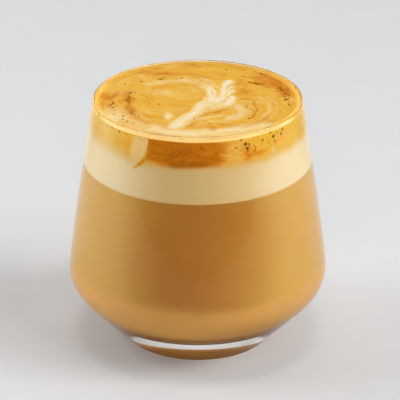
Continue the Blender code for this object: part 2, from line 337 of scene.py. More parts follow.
STAINS = (
    (0.8, 0.5, ((14.6, 0.8), (18.2, -0.6), (19.6, -5.8), (19.2, -11.4), (17.4, -17.2))),
    (2.0, 0.3, ((8, -22), (13, -23.6), (17.5, -23.2), (21.4, -19.4), (23.2, -14))),
    (2.0, 0.36, ((-17.4, 24.6), (-10, 24.2), (-3, 23.4), (2, 21))),
    (1.8, 0.26, ((-9.6, 11.4), (-6.4, 14.4), (-2.6, 14.6), (0.8, 11.6))),
    (2.2, 0.46, ((-29.6, 1.4), (-27.2, 5.2), (-23, 6.4))),
    (1.9, 0.5, ((-24.6, 6.6), (-23.4, 0.4), (-23.6, -6), (-22.4, -11.6))),
    (1.6, 0.26, ((-22.4, -11.6), (-19.4, -17.4), (-16, -20.6))),
    (0.8, 0.6, ((15.4, 21.4), (18.6, 20.8), (21.8, 19.6))),
    (1.1, 0.9, ((18.6, 15.8), (20.6, 15.0), (22.4, 14.4))),
    (0.9, 0.6, ((20.8, 26.6), (22.4, 24.4), (24.6, 22.8))),
    (4.0, 0.44, ((22.0, 19.4), (27.4, 13.6), (30.6, 7.0))),
    (0.7, 0.45, ((12.8, -6.8), (9.6, -8.6), (7.2, -10.8), (3.8, -12.6), (1.2, -14.8), (-1.4, -17.4))),
    (0.6, 0.26, ((-3.6, -20.4), (-6.6, -24.4), (-8.0, -26.4))),
    (2.4, 0.2, ((-5, -22), (2, -24.8), (8, -25))),
    (2.0, 0.22, ((9.6, 22.0), (14.4, 17.6), (16.4, 11.4), (15.6, 6.2))),
)

# Pattern of the side, by angle in degrees from the drinker's side and height in millimetres
UPRIGHT = 4  # what a millimetre of height counts beside a degree
HOOK = ((-27.0, 322), (-28.4, 314.0), (-30.4, 309.0), (-32.6, 303.5), (-34.4, 299.8))
RUN_HEIGHTS = (75.0, 76.6, 78.0, 80.5, 83.0, 88.0)
RUN_LEFT = (-34.8, -36.6, -37.6, -38.2, -37.6, -35.8)
RUN_RIGHT = (-34.2, -32.4, -30.6, -28.2, -27.0, -26.6)
SIDE_STAINS = (
    # strength, then middle angle and height, half width and half height
    (0.66, 35, 80.2, 6, 1.2), (0.4, 27, 80.2, 3, 2.4), (0.5, 49, 82.0, 6, 1.6), (0.24, -41, 83.5, 3.4, 3.0),
)
HUMP_ANGLE, HUMP_WIDTH = 66, 19


def step(x, low, high):
    """Smooth rise from 0 at low to 1 at high, on arrays."""
    t = np.clip((x - low) / (high - low), 0, 1)
    return t * t * (3 - 2 * t)


def blob(x, y, cx, cy, rx, ry):
    """Soft oval spot, 1 in the middle and fading to nothing."""
    return np.exp(-((x - cx) / rx) ** 2 - ((y - cy) / ry) ** 2)


def angle_of(co):
    """Angle round the axis from the drinker's side, in degrees."""
    return np.degrees(np.arctan2(co[:, 0], -co[:, 1]))


def angle_off(angle, middle):
    """Angle from a middle one, between -180 and 180 degrees."""
    return np.remainder(angle - middle + 180, 360) - 180


def wander(x, y, size, seed):
    """Smooth uneven field between about -1 and 1, with features of the given size."""
    rng = np.random.RandomState(seed)
    total = np.zeros_like(x)
    for _ in range(7):
        angle, phase, k = rng.uniform(0, 2 * math.pi), rng.uniform(0, 2 * math.pi), rng.uniform(0.6, 1.5)
        total += np.sin((x * math.cos(angle) + y * math.sin(angle)) * 2 * math.pi * k / size + phase)
    return total / 3.2


def shaken(x, y, by, size, seed):
    """The points moved a little, so that what is drawn from them gets uneven edges."""
    return x + by * wander(x, y, size, seed), y + by * wander(x, y, size, seed + 1)


def near_line(x, y, a, b):
    """Distance to the straight line from a to b."""
    ax, ay = a
    dx, dy = b[0] - ax, b[1] - ay
    t = np.clip(((x - ax) * dx + (y - ay) * dy) / (dx * dx + dy * dy), 0, 1)
    return np.hypot(x - ax - t * dx, y - ay - t * dy)


def near_path(x, y, points):
    """Distance to a path of straight pieces."""
    return np.min([near_line(x, y, a, b) for a, b in zip(points, points[1:])], axis=0)


def outline_depth(x, y, outline):
    """How far inside a closed outline a point lies, negative outside."""
    inside = np.zeros(x.shape, bool)
    ends = np.roll(outline, -1, axis=0)
    for (ax, ay), (bx, by) in zip(outline, ends):
        crosses = (ay > y) != (by > y)
        with np.errstate(divide="ignore", invalid="ignore"):
            inside ^= crosses & (x < (bx - ax) * (y - ay) / (by - ay) + ax)
    edge = near_path(x, y, [*map(tuple, outline), tuple(outline[0])])
    return np.where(inside, edge, -edge)


def stream_field(x, y, rim):
    """Even across the swirls and constant along them, so that streaks follow the pour."""
    x = x + 1.3 * wander(x, y, 17, 3)
    y = y + 1.3 * wander(x, y, 17, 4)
    left = np.hypot(x - LEFT_SWIRL[0], (y - LEFT_SWIRL[1]) * 0.92)
    right = np.hypot(x - RIGHT_SWIRL[0], (y - RIGHT_SWIRL[1]) * 0.8)
    edge = rim - np.hypot(x, y)
    w_left = np.exp(-(left / 15) ** 2) + 0.02
    w_right = 1.3 * np.exp(-(right / 9) ** 2)
    w_edge = np.exp(-(edge / 6) ** 2)
    return (w_left * left + w_right * (right + 7) + w_edge * (edge + 24)) / (w_left + w_right + w_edge)


def side_stream(co, inner, drink):
    """The stream field carried down the glass."""
    rim = inner.at(drink.level)
    share = rim / np.maximum(np.hypot(co[:, 0], co[:, 1]), MM)
    down = drink.level - co[:, 2]
    return stream_field(co[:, 0] * share / MM, co[:, 1] * share / MM, rim / MM) + 0.7 * down / MM


def strokes(x, y, table):
    """Strongest of a table's soft strokes at each point."""
    field = np.zeros_like(x)
    for half_width, strength, points in table:
        field = np.maximum(field, strength * np.exp(-(near_path(x, y, points) / half_width) ** 2))
    return field


def leaf_masks(x, y):
    """Outline of the poured leaf, and its milk with lighter lobes and darker slits, dab included."""
    wx, wy = shaken(x, y, 0.18, 4.0, 21)
    depth = outline_depth(wx, wy, LEAF)
    outline = step(depth, -0.5, 0.6)
    stalk = step(-wy, 6, 16)
    milk = 0.66 + 0.42 * strokes(wx, wy, LEAF_LIGHTS)
    milk *= step(depth + 0.4 * stalk, -1.4 - 0.4 * stalk, 0.9 + 0.6 * stalk)
    milk *= 1 - strokes(wx, wy, LEAF_DARKS)
    dab = 0.62 * step(1.3 - np.hypot((wx - DAB[0]) / DAB[2], (wy - DAB[1]) / DAB[3]), 0, 1.1)
    return outline, np.maximum(milk, dab)


def top_pattern(x, y, rim):
    """Milk, stain and leaf fields of the drink's top. The milk holds a pale band along the wall, paler in front as a
    painted highlight of the rim.
    """
    leaf, leaf_milk = leaf_masks(x, y)
    wx, wy = shaken(x, y, 0.5, 7, 23)
    from_edge = rim - np.hypot(x, y)
    near_edge = step(from_edge, 8, 1)
    milk = strokes(wx, wy, PALE) + 0.14 * step(wander(x, y, 15, 26), 0.1, 1.1)
    stain = strokes(wx, wy, STAINS)
    stain += 0.20 * near_edge * step(wander(x, y, 9, 12), -0.3, 0.9) * step(y, -12, 6)
    stain += 0.14 * step(wander(x, y, 12, 27), 0.2, 1.2) + 0.22 * near_edge * step(y, -20, 0)
    # Pale band of milk along the wall; its extra paleness in front is a painted highlight of the rim
    rim_band = step(from_edge, 2.0, 0.6)
    stain *= 1 - rim_band
    milk = np.maximum(milk, (0.14 + 0.20 * step(-y, 2, 16)) * rim_band)
    milk = np.clip(np.maximum(milk * (1 - leaf), leaf_milk), 0, 1)
    return milk, np.clip(stain * (1 - leaf), 0, 1), leaf


def hump(angle):
    """Where the crema's lower edge rises at the right, from 0 to 1."""
    return np.exp(-(angle_off(angle, HUMP_ANGLE) / HUMP_WIDTH) ** 2)


def edge_lift(angle):
    """How far the crema's lower edge stands above its mean level, by angle in degrees."""
    wave = -0.0016 * np.cos(np.radians(angle + 10)) + 0.00025 * np.sin(np.radians(7 * angle))
    return wave + 0.0024 * hump(angle)


def edge_softness(angle):
    """Half the height in millimetres over which the crema fades into the foam, by angle in degrees."""
    at_left = step(-angle, 38, 52)
    in_front = step(-np.abs(angle + 7), -30, -10)
    return 2.9 + 0.9 * at_left - 1.6 * in_front - 0.6 * step(angle, 5, 30)


def milk_hook(angle, height):
    """Brown line along the right of the milk that ran down the glass."""
    width = 0.8 + 0.9 * step(height, 75.0, 78.0)
    return np.exp(-(near_path(angle, height * UPRIGHT, HOOK) / width) ** 2)


def above_edge(angle, height):
    """Height of a point of the side above the crema's lower edge, in multiples of its softness."""
    level = (bpy.context.scene.flat_white_drink.crema_edge + edge_lift(angle)) / MM
    level += 0.8 * step(-angle, 38, 52) - 3.3 * hump(angle)
    notch = 2.6 * blob(angle, height, 43.0, 80.6, 2.2, 2.2)
    fingers = 0.2 * np.sin(np.radians(angle) * 21) * step(angle, 10, 26)
    return (height - level - notch + fingers) / edge_softness(angle) + 1.6 * milk_hook(angle, height)


def side_pattern(angle, height):
    """Milk and stain fields seen through the glass. A stain below 0 stands for golden crema."""
    from_left = angle - np.interp(height, RUN_HEIGHTS, RUN_LEFT)
    from_right = np.interp(height, RUN_HEIGHTS, RUN_RIGHT) - angle
    inside = np.minimum(from_left * 0.6, from_right * 1.6)
    run = step(inside, -0.9, 1.5) * step(height, 74.6, 76.0)
    run *= 0.86 + 0.14 * wander(angle * 3, height, 9, 33)
    milk = 0.44 * run + 0.14 * step(-angle, 40, 56) * (1 - run) + 0.14 * step(-np.abs(angle - 20), -7, -1)
    front = step(angle, -28.5, -26.5) * step(-angle, -22, -8)
    low = step(-height, -80.4, -78.6) * step(-np.abs(angle + 7), -14, -8)
    up = height * UPRIGHT
    mottle = wander(angle, up, 9, 30) + wander(angle, up, 20, 34)
    stain = front * (0.74 + 0.07 * mottle) * (1 - run) + 0.22 * low
    stain *= 1 - 0.5 * step(-height, -79.4, -78.0) * step(-angle, 12, 16)
    stain = np.maximum(stain, 0.52 * milk_hook(angle, height))
    stain -= (0.46 + 0.12 * wander(angle, up, 13, 35)) * step(np.abs(angle + 4), 28, 50) * (1 - run)
    for strength, *spot in SIDE_STAINS:
        stain += strength * blob(angle, height, *spot)
    stain += 0.34 * step(wander(angle, up, 34, 31), -0.2, 1.0) * step(np.abs(angle), 75, 110)
    return np.clip(milk, 0, 1), np.clip(stain, -1, 1)


def store(mesh, **fields):
    """Keep fields of one number a point on the mesh, for its material."""
    for name, values in fields.items():
        attribute = mesh.attributes.new(name, "FLOAT", "POINT")
        attribute.data.foreach_set("value", np.ascontiguousarray(values, np.float32))


def points_of(mesh):
    co = np.empty(len(mesh.vertices) * 3, np.float32)
    mesh.vertices.foreach_get("co", co)
    return co.reshape(-1, 3).astype(float)


def place_points(mesh, co):
    mesh.vertices.foreach_set("co", np.ascontiguousarray(co, np.float32).ravel())
    mesh.update()


def keep_on_wall(co, chosen, inner):
    """Bring the chosen points out or in to the wall at their height."""
    radius = np.maximum(np.hypot(co[:, 0], co[:, 1]), SAME_POINT)
    co[:, :2] *= np.where(chosen, (inner.at(co[:, 2]) + EMBED) / radius, 1)[:, None]


def wave_edge(co, inner, still_z, moving_z):
    """Wave the crema's lower edge into the points of a turned layer that hugs the inner wall."""
    radius = np.hypot(co[:, 0], co[:, 1])
    wall = inner.at(co[:, 2]) + EMBED
    share = np.clip((co[:, 2] - still_z) / (moving_z - still_z), 0, 1)
    on_wall = radius > wall - ON_WALL
    moves = (share > 0) & (radius > SAME_POINT) & (on_wall | (share > 0.999))
    co[:, 2] += np.where(moves, edge_lift(angle_of(co)) * share * (radius / wall) ** 4, 0)
    keep_on_wall(co, moves & on_wall, inner)
    return on_wall


def rim_lift(angle, drink):
    """How far the foam stands above its level where it meets the glass, by angle in degrees."""
    behind, in_front = step(np.abs(angle), 88, 125), step(-np.abs(angle), -125, -88)
    return drink.edge_climb * behind - drink.edge_drop * in_front


def round_edge(co, on_wall, inner, drink):
    """Round the foam's top down to the glass in front and let it cling to the glass behind."""
    from_wall = inner.at(drink.level) - np.hypot(co[:, 0], co[:, 1])
    below = np.clip((drink.level - co[:, 2]) / ROUNDED_BAND, 0, 1)
    share = np.where(on_wall, 1 - below, np.exp(-np.maximum(from_wall, 0) / drink.edge_reach))
    co[:, 2] += share * rim_lift(angle_of(co), drink)
    keep_on_wall(co, on_wall, inner)


# Materials


class Nodes:
    """Short way to add and link the nodes of one tree."""

    def __init__(self, tree):
        self.tree = tree

    def add(self, kind, settings=None, **inputs):
        node = self.tree.nodes.new("ShaderNode" + kind)
        for key, value in (settings or {}).items():
            setattr(node, key, value)
        for key, value in inputs.items():
            self.feed(node.inputs[key.replace("_", " ")], value)
        return node

    def feed(self, socket, value):
        if isinstance(value, bpy.types.NodeSocket):
            self.tree.links.new(value, socket)
        elif hasattr(value, "__len__") and len(value) == 3 and socket.type == "RGBA":
            socket.default_value = (*value, 1)
        else:
            socket.default_value = value

    def maths(self, operation, *values, clamp=False):
        node = self.add("Math", {"operation": operation, "use_clamp": clamp})
        for socket, value in zip(node.inputs, values):
            self.feed(socket, value)
        return node.outputs[0]

    def chain(self, operation, *values):
        """All the values combined by one operation, from the first on."""
        result = values[0]
        for value in values[1:]:
            result = self.maths(operation, result, value)
        return result

    def times(self, *values):
        return self.chain("MULTIPLY", *values)

    def plus(self, *values):
        return self.chain("ADD", *values)

    def most(self, *values):
        return self.chain("MAXIMUM", *values)

    def blend(self, share, a, b):
        """Colour a at share 0 and b at share 1."""
        node = self.add("Mix", {"data_type": "RGBA", "clamp_factor": True})
        self.feed(node.inputs[0], share)
        self.feed(node.inputs[6], a)
        self.feed(node.inputs[7], b)
        return node.outputs[2]

    def rise(self, value, low, high, bottom=0.0, top=1.0):
        """Smooth step from bottom at low to top at high."""
        node = self.add("MapRange", {"interpolation_type": "SMOOTHSTEP"})
        for i, number in enumerate((value, low, high, bottom, top)):
            self.feed(node.inputs[i], number)
        return node.outputs[0]

    def noise(self, vector, scale, detail=3.0, roughness=0.5):
        node = self.add("TexNoise", Vector=vector, Scale=scale, Detail=detail, Roughness=roughness)
        return node.outputs[0]

    def stored(self, name):
        return self.add("Attribute", {"attribute_name": name}).outputs["Fac"]

    def place(self):
        """Object coordinates in millimetres."""
        coordinates = self.add("TexCoord").outputs["Object"]
        scale = self.add("VectorMath", {"operation": "SCALE"}, Vector=coordinates)
        scale.inputs["Scale"].default_value = 1 / MM
        return scale.outputs[0]


def new_material(name):
    """Material with a Principled shader, and the helper for its nodes."""
    mat = bpy.data.materials.new(name)
    mat.use_nodes = True
    return mat, Nodes(mat.node_tree), mat.node_tree.nodes["Principled BSDF"]


def start_group(name, inputs, outputs):
    """Empty node group with its named sockets. Gives its helper, its inputs and its outputs."""
    group = bpy.data.node_groups.new(name, "ShaderNodeTree")
    for side, sockets in (("INPUT", inputs), ("OUTPUT", outputs)):
        for socket, kind in sockets:
            group.interface.new_socket(socket, in_out=side, socket_type="NodeSocket" + kind)
    given, result = group.nodes.new("NodeGroupInput").outputs, group.nodes.new("NodeGroupOutput").inputs
    return Nodes(group), given, result


def fine_foam_group():
    """Fine bubbles of milk foam, as a mask of specks and a height."""
    n, given, result = start_group(
        "fine_foam", (("Vector", "Vector"), ("Size", "Float")), (("Specks", "Float"), ("Height", "Float")))
    scale = n.maths("DIVIDE", 1.0, given["Size"])
    cells = n.add("TexVoronoi", Vector=given["Vector"], Scale=scale, Randomness=1.0)
    grain = n.noise(given["Vector"], n.times(scale, 0.6), 3.0, 0.6)
    dots = n.rise(cells.outputs["Distance"], 0.42, 0.12)
    patches = n.rise(grain, 0.48, 0.62)
    n.feed(result["Specks"], n.times(dots, patches))
    n.feed(result["Height"], n.plus(n.times(dots, -0.7), grain))


MARBLING_COLOURS = {
    # input of the node group: finish it takes
    "Amber": "amber", "Gold": "gold", "Light gold": "light_gold", "Side gold": "side_gold",
    "Rust": "rust", "Brown": "brown", "Cream": "cream", "Milk colour": "milk",
}


def marbling_group():
    """Marbled crema: soft clouds and streaks along the pour, then stains, milk and specks."""
    numbers = [(name, "Float") for name in ("Stream", "Milk", "Stain", "Specks")]
    colours = [(name, "Color") for name in MARBLING_COLOURS]
    n, given, result = start_group(
        "crema_marbling", [("Vector", "Vector"), *numbers, *colours], [("Color", "Color")])
    place, milk, stain = given["Vector"], given["Milk"], given["Stain"]
    x, y, _ = n.add("SeparateXYZ", Vector=place).outputs

    def streaks(across, along, detail):
        stream = n.times(given["Stream"], across)
        vector = n.add("CombineXYZ", X=stream, Y=n.times(x, along), Z=n.times(y, along)).outputs[0]
        return n.noise(vector, 1.0, detail, 0.5)

    mixed = 0.0
    for field, share in (
        (streaks(0.24, 0.07, 2.0), 0.23), (streaks(1.0, 0.15, 3.0), 0.30),
        (n.noise(place, 0.13, 4.0, 0.6), 0.23), (n.noise(place, 1.5, 3.0, 0.7), 0.24),
    ):
        mixed = n.maths("MULTIPLY_ADD", field, share, mixed)
    mixed = n.maths("MULTIPLY_ADD", n.maths("MINIMUM", stain, 0.0), -0.3, mixed)
    colour = n.blend(n.rise(mixed, 0.36, 0.52), given["Amber"], given["Gold"])
    colour = n.blend(n.rise(mixed, 0.48, 0.64), colour, given["Light gold"])
    at_side = n.times(n.rise(stain, 0.0, -0.5), 0.85)
    colour = n.blend(at_side, colour, given["Side gold"])
    off = n.maths("SUBTRACT", mixed, 0.5)
    ragged = n.plus(stain, n.times(off, n.rise(stain, 0.0, 0.3), -1.8))
    colour = n.blend(n.rise(ragged, 0.05, 0.66), colour, given["Rust"])
    colour = n.blend(n.rise(ragged, 0.60, 1.05), colour, given["Brown"])
    ragged = n.plus(milk, n.times(off, n.rise(milk, 0.0, 0.3)))
    colour = n.blend(n.rise(ragged, 0.0, 0.62), colour, given["Cream"])
    colour = n.blend(n.rise(ragged, 0.55, 1.0), colour, given["Milk colour"])
    kept = n.maths("SUBTRACT", 0.22, n.times(milk, 0.28), clamp=True)
    kept = n.plus(kept, n.times(stain, 0.28))
    n.feed(result["Color"], n.blend(n.times(given["Specks"], kept), colour, given["Brown"]))


def use_group(n, name, maker, **inputs):
    """Place a node group, making it the first time."""
    if name not in bpy.data.node_groups:
        maker()
    node = n.add("Group")
    node.node_tree = bpy.data.node_groups[name]
    for key, value in inputs.items():
        n.feed(node.inputs[key.replace("_", " ")], value)
    return node.outputs


def marbling(n, finish, place, specks):
    """Colour of the crema from the fields stored on the mesh. Its stains end before its lower edge does."""
    stain = n.stored("stain")
    stain = n.maths("MINIMUM", stain, n.times(stain, n.rise(n.stored("edge"), -0.7, 0.7)))
    colours = {name: getattr(finish, colour) for name, colour in MARBLING_COLOURS.items()}
    return use_group(
        n, "crema_marbling", marbling_group, Vector=place, Stream=n.stored("stream"),
        Milk=n.stored("milk"), Stain=stain, Specks=specks, **colours)["Color"]


def into_crema(n, finish, place, foam, crema):
    """Soft ragged change across the crema's lower edge, from foam over a golden tint to crema."""
    wisps = n.times(n.maths("SUBTRACT", n.noise(place, 0.35, 4.0, 0.6), 0.5), 0.8)
    edge = n.plus(n.stored("edge"), wisps)
    golden = n.blend(n.rise(edge, -1.0, 0.3, 0.0, 0.4), foam, finish.side_gold)
    return n.blend(n.rise(edge, -0.6, 1.0), golden, crema)


FROM_GLASS_OUT = 0.9  # what lies behind the wall bends light less than the glass
FINE_BUBBLE = 0.45  # size in millimetres of the milk foam's bubbles
# Weight of the scattered light, how far red, green and blue go, and the length that this counts in
COFFEE_SCATTER = 0.35, (1.0, 0.5, 0.2), 0.004
FOAM_SCATTER = 0.1, (1.0, 0.6, 0.3), 0.0012


def let_scatter(shader, weight, radius, scale):
    """Light that enters the layer and comes out beside."""
    shader.inputs["Subsurface Weight"].default_value = weight
    shader.inputs["Subsurface Radius"].default_value = radius
    shader.inputs["Subsurface Scale"].default_value = scale


def bump_from(n, height, strength, distance):
    node = n.add("Bump", Height=height)
    node.inputs["Strength"].default_value = strength
    node.inputs["Distance"].default_value = distance
    return node.outputs["Normal"]


def mix_in(n, share, shader, other):
    """Show another shader in place of a share of the first."""
    mix = n.add("MixShader")
    for socket, value in zip(mix.inputs, (share, shader.outputs[0], other.outputs[0])):
        n.feed(socket, value)
    n.feed(n.tree.nodes["Material Output"].inputs["Surface"], mix.outputs[0])


def glass_material():
    """Clear glass that lets the lamps reach the drink."""
    mat, n, shader = new_material("clear_glass")
    shader.inputs["Base Color"].default_value = (0.985, 0.99, 0.985, 1)
    shader.inputs["Roughness"].default_value = 0.0
    shader.inputs["Transmission Weight"].default_value = 1.0
    shader.inputs["IOR"].default_value = 1.5
    ripple = n.noise(n.place(), 0.05, 1.0)
    n.feed(shader.inputs["Normal"], bump_from(n, ripple, 0.04, 0.0004))
    mix_in(n, n.add("LightPath").outputs["Is Shadow Ray"], shader, n.add("BsdfTransparent"))
    return mat


def under_glass(n, shader):
    """Show a layer as it meets the glass: mirror-like where it is seen very flat, and dull elsewhere."""
    shader.inputs["Specular IOR Level"].default_value = 0.0
    mirror = n.add("BsdfGlossy", Roughness=0.0, Color=(1, 1, 1))
    mix_in(n, n.add("Fresnel", IOR=FROM_GLASS_OUT).outputs[0], shader, mirror)


def seen_flat(n):
    """0 where a layer faces the eye and 1 where it is seen at a flat angle through the glass. Colours blended by it
    lay painted shade on the part that faces the eye.
    """
    return n.rise(n.add("LayerWeight", Blend=0.5).outputs["Facing"], 0.0, 0.16)


def coffee_material(finish):
    """Milky coffee, with painted shade where it faces the eye and on its level bottom, and painted light in the
    rounded lower corner.
    """
    mat, n, shader = new_material("milky_coffee")
    place = n.place()
    slow = n.noise(place, 0.03, 2.0)
    height = n.add("SeparateXYZ", Vector=place).outputs[2]
    uneven = n.times(n.maths("SUBTRACT", slow, 0.5), 0.5)
    # Painted shade: deeper coffee where the layer faces the eye, lighter where it curves away
    colour = n.blend(n.maths("ADD", seen_flat(n), uneven, clamp=True), finish.coffee_shaded_front, finish.coffee)
    # Painted light: paler coffee in the rounded lower corner, standing in for light that comes up through the thick
    # base
    painted_base_light = n.rise(n.plus(height, n.times(slow, 4.0)), 33.0, 26.0)
    colour = n.blend(painted_base_light, colour, finish.coffee_lit_corner)
    # Painted shade: dark coffee on the level inside bottom, where the thick base keeps light away
    n.feed(shader.inputs["Base Color"], n.blend(n.rise(height, 17.4, 15.2), colour, finish.coffee_shaded_bottom))
    shader.inputs["Roughness"].default_value = 0.6
    let_scatter(shader, *COFFEE_SCATTER)
    under_glass(n, shader)
    return mat


# Foam colour with painted shade where the band faces the eye
def front_shaded_foam(n, finish):
    return n.blend(seen_flat(n), finish.foam_shaded_front, finish.foam)


def foam_material(finish):
    """Pale foam band, tinted by the coffee below it, with painted shade where it faces the eye and the crema's edge
    let into its top.
    """
    mat, n, shader = new_material("foam_look")
    place = n.place()
    foam = use_group(n, "fine_foam", fine_foam_group, Vector=place, Size=FINE_BUBBLE)
    colour = front_shaded_foam(n, finish)
    colour = n.blend(n.times(n.rise(n.stored("above_coffee"), 0.9, 0.0), 0.4), colour, finish.coffee)
    colour = n.blend(n.times(foam["Specks"], 0.08), colour, finish.light_gold)
    colour = into_crema(n, finish, place, colour, marbling(n, finish, place, foam["Specks"]))
    n.feed(shader.inputs["Base Color"], colour)
    dress_foam(n, shader, foam["Height"])
    return mat


def crema_material(finish):
    """Marbled crema that fades into the foam at its lower edge, with dark bubbles against the glass."""
    mat, n, shader = new_material("crema_look")
    place = n.place()
    foam = use_group(n, "fine_foam", fine_foam_group, Vector=place, Size=FINE_BUBBLE)
    # The foam it fades into carries painted shade where it faces the eye
    colour = into_crema(n, finish, place, front_shaded_foam(n, finish), marbling(n, finish, place, foam["Specks"]))
    colour = n.blend(n.maths("MULTIPLY", n.stored("pit"), 1.15, clamp=True), colour, finish.bubble)
    n.feed(shader.inputs["Base Color"], colour)
    dress_foam(n, shader, foam["Height"])
    return mat


def dress_foam(n, shader, height):
    """Dull, softly scattering surface with the fine bubbles as relief, for foam and crema alike."""
    shader.inputs["Roughness"].default_value = 0.6
    shader.inputs["Specular IOR Level"].default_value = 0.06
    let_scatter(shader, *FOAM_SCATTER)
    n.feed(shader.inputs["Normal"], bump_from(n, height, 0.18, 0.00012))


def bubble_material(finish):
    mat, n, shader = new_material("bubble_film")
    tint = n.noise(n.place(), 1.4, 2.0)
    n.feed(shader.inputs["Base Color"], n.blend(n.rise(tint, 0.4, 0.65), finish.bubble, finish.brown))
    shader.inputs["Roughness"].default_value = 0.9
    shader.inputs["Specular IOR Level"].default_value = 0.0
    return mat


# Painted reflection, seen only where the glass mirrors the floor: its dark colour where the room is dark, and a
# painted glow where the room is bright
MIRRORED_DARK = (0.03, 0.025, 0.02)
MIRRORED_GLOW = 0.04


def floor_material(finish):
    """Pale floor. Where the glass mirrors it, it is painted darker in front and given a painted glow behind, a painted
    reflection of the room.
    """
    mat, n, shader = new_material("pale_floor")
    place = n.place()
    x, y, _ = n.add("SeparateXYZ", Vector=place).outputs
    path = n.add("LightPath").outputs
    mirrored = n.times(path["Is Glossy Ray"], n.maths("SUBTRACT", 1.0, path["Is Transmission Ray"]))
    far = n.rise(y, -238.0, -256.0)
    sideways = n.maths("DIVIDE", n.maths("ABSOLUTE", x), n.most(n.maths("ABSOLUTE", y), 1.0))
    dark = n.times(far, n.rise(sideways, 1.6, 1.2))
    distance = n.maths("SQRT", n.plus(n.times(x, x), n.times(y, y)))
    behind = n.maths("DIVIDE", y, n.most(distance, 1.0))
    in_front = n.times(n.rise(behind, -0.2, -0.9), 0.75)
    grain = n.rise(n.noise(place, 0.02, 3.0), 0.3, 0.7, 0.985, 1.0)
    pale = n.add("VectorMath", {"operation": "SCALE"})
    pale.inputs[0].default_value = finish.floor
    n.feed(pale.inputs["Scale"], grain)
    away = n.rise(distance, 430.0, 600.0, 0.0, 0.9)
    at_back = n.times(n.rise(y, 110.0, 190.0, 0.0, 0.55), n.rise(behind, 0.85, 0.6))
    close_by = n.rise(distance, 230.0, 110.0, 0.0, 0.15)
    shade = n.times(n.most(dark, in_front, away, at_back, close_by), mirrored)
    n.feed(shader.inputs["Base Color"], n.blend(shade, pale.outputs[0], MIRRORED_DARK))
    # Painted glow, seen only in the glass's reflections, brighter behind
    bright = n.times(n.rise(behind, -0.7, 0.1), MIRRORED_GLOW, mirrored)
    n.feed(shader.inputs["Emission Color"], n.add("CombineXYZ", X=bright, Y=bright, Z=bright).outputs[0])
    shader.inputs["Emission Strength"].default_value = 1.0
    shader.inputs["Roughness"].default_value = 0.8
    shader.inputs["Specular IOR Level"].default_value = 0.1
    mat.cycles.emission_sampling = "NONE"
    return mat


# Operators


def drink_and_wall(context):
    """Sizes of the drink, and the inner wall that holds it."""
    _, inner = walls(context.scene.flat_white_glass)
    return context.scene.flat_white_drink, inner


class FLATWHITE_OT_glass(bpy.types.Operator):
    """Turn the clear glass with its rounded lip, shoulder and thick base"""

    bl_idname = "flatwhite.glass"
    bl_label = "Glass"

    def execute(self, context):
        obj = turn(glass_profile(context.scene.flat_white_glass))
        finish_piece(obj, "glass_wall", "glass", glass_material())
        return {"FINISHED"}


class FLATWHITE_OT_coffee(bpy.types.Operator):
    """Pour the milky coffee up to the foam"""

    bl_idname = "flatwhite.coffee"
    bl_label = "Coffee"

    def execute(self, context):
        drink, inner = drink_and_wall(context)
        top = drink.coffee_level
        profile = [(0, top), (inner.at(top) / 2, top)]
        profile += [(r + EMBED, z) for r, z in inner.points(top, inner.foot[1], COFFEE_STEPS)]
        profile += arc(inner.centre, inner.radius + EMBED, inner.lean, -math.pi / 2, CORNER_STEPS)[1:]
        profile += [(0, inner.centre[1] - inner.radius - EMBED)]
        obj = turn(profile)
        look = coffee_material(context.scene.flat_white_finish)
        finish_piece(obj, "coffee_body", "coffee", look)
        return {"FINISHED"}


class FLATWHITE_OT_milk_foam(bpy.types.Operator):
    """Lay the band of milk foam between the coffee and the crema"""

    bl_idname = "flatwhite.milk_foam"
    bl_label = "Milk foam"

    def execute(self, context):
        drink, inner = drink_and_wall(context)
        top, bottom = drink.crema_edge, drink.coffee_level
        profile = [(0, top)] + [((inner.at(top) + EMBED) * k, top) for k in reversed(INNER_RINGS)]
        profile += [(r + EMBED, z) for r, z in inner.points(top, bottom, FOAM_STEPS)] + [(0, bottom)]
        obj = turn(profile)
        look = foam_material(context.scene.flat_white_finish)
        finish_piece(obj, "foam_band", "milk_foam", look)
        co = points_of(obj.data)
        wave_edge(co, inner, bottom, top)
        place_points(obj.data, co)
        angle, height = angle_of(co), co[:, 2] / MM
        milk, stain = side_pattern(angle, height)
        store(
            obj.data, milk=milk, stain=stain, stream=side_stream(co, inner, drink),
            edge=above_edge(angle, height), above_coffee=height - bottom / MM)
        return {"FINISHED"}


SIDE_BUBBLES = (
    # angle in degrees, height and radius in millimetres
    (23.5, 86.0, 0.40), (26.0, 84.2, 0.42), (26.8, 82.6, 0.40), (28.0, 83.9, 0.26), (20.6, 83.4, 0.22),
    (43.4, 86.4, 0.28), (42.2, 85.8, 0.28), (44.0, 84.2, 0.44), (44.8, 82.4, 0.22), (51.6, 85.2, 0.32),
    (50.0, 84.0, 0.32), (36.5, 84.1, 0.24), (40.4, 82.6, 0.18), (31.6, 82.5, 0.22), (30.6, 83.2, 0.16),
    (27.0, 81.6, 0.22), (31.2, 81.4, 0.20), (47.0, 84.9, 0.14), (55.6, 86.0, 0.18), (-52.4, 85.6, 0.20),
    (-46.2, 85.4, 0.24), (-60.5, 86.0, 0.20), (-42.8, 85.9, 0.16), (1.4, 84.2, 0.20), (-13.6, 83.0, 0.16),
)
SIDE_GROUPS = (
    # middle angle and height, spread in angle and height, count, largest radius
    (28, 83.0, 4, 1.1, 16, 0.16), (45, 84.2, 5, 1.2, 14, 0.16), (-55, 85.4, 9, 0.7, 16, 0.15),
    (-5, 83.2, 16, 1.8, 30, 0.15), (112, 84.8, 16, 1.2, 16, 0.26), (172, 85.0, 22, 1.2, 18, 0.26),
    (240, 84.8, 18, 1.2, 16, 0.26), (88, 84.6, 8, 1.2, 8, 0.20),
)
HIGHEST_BUBBLE = 86.3
MM_A_DEGREE = 0.62  # of the wall, round the glass


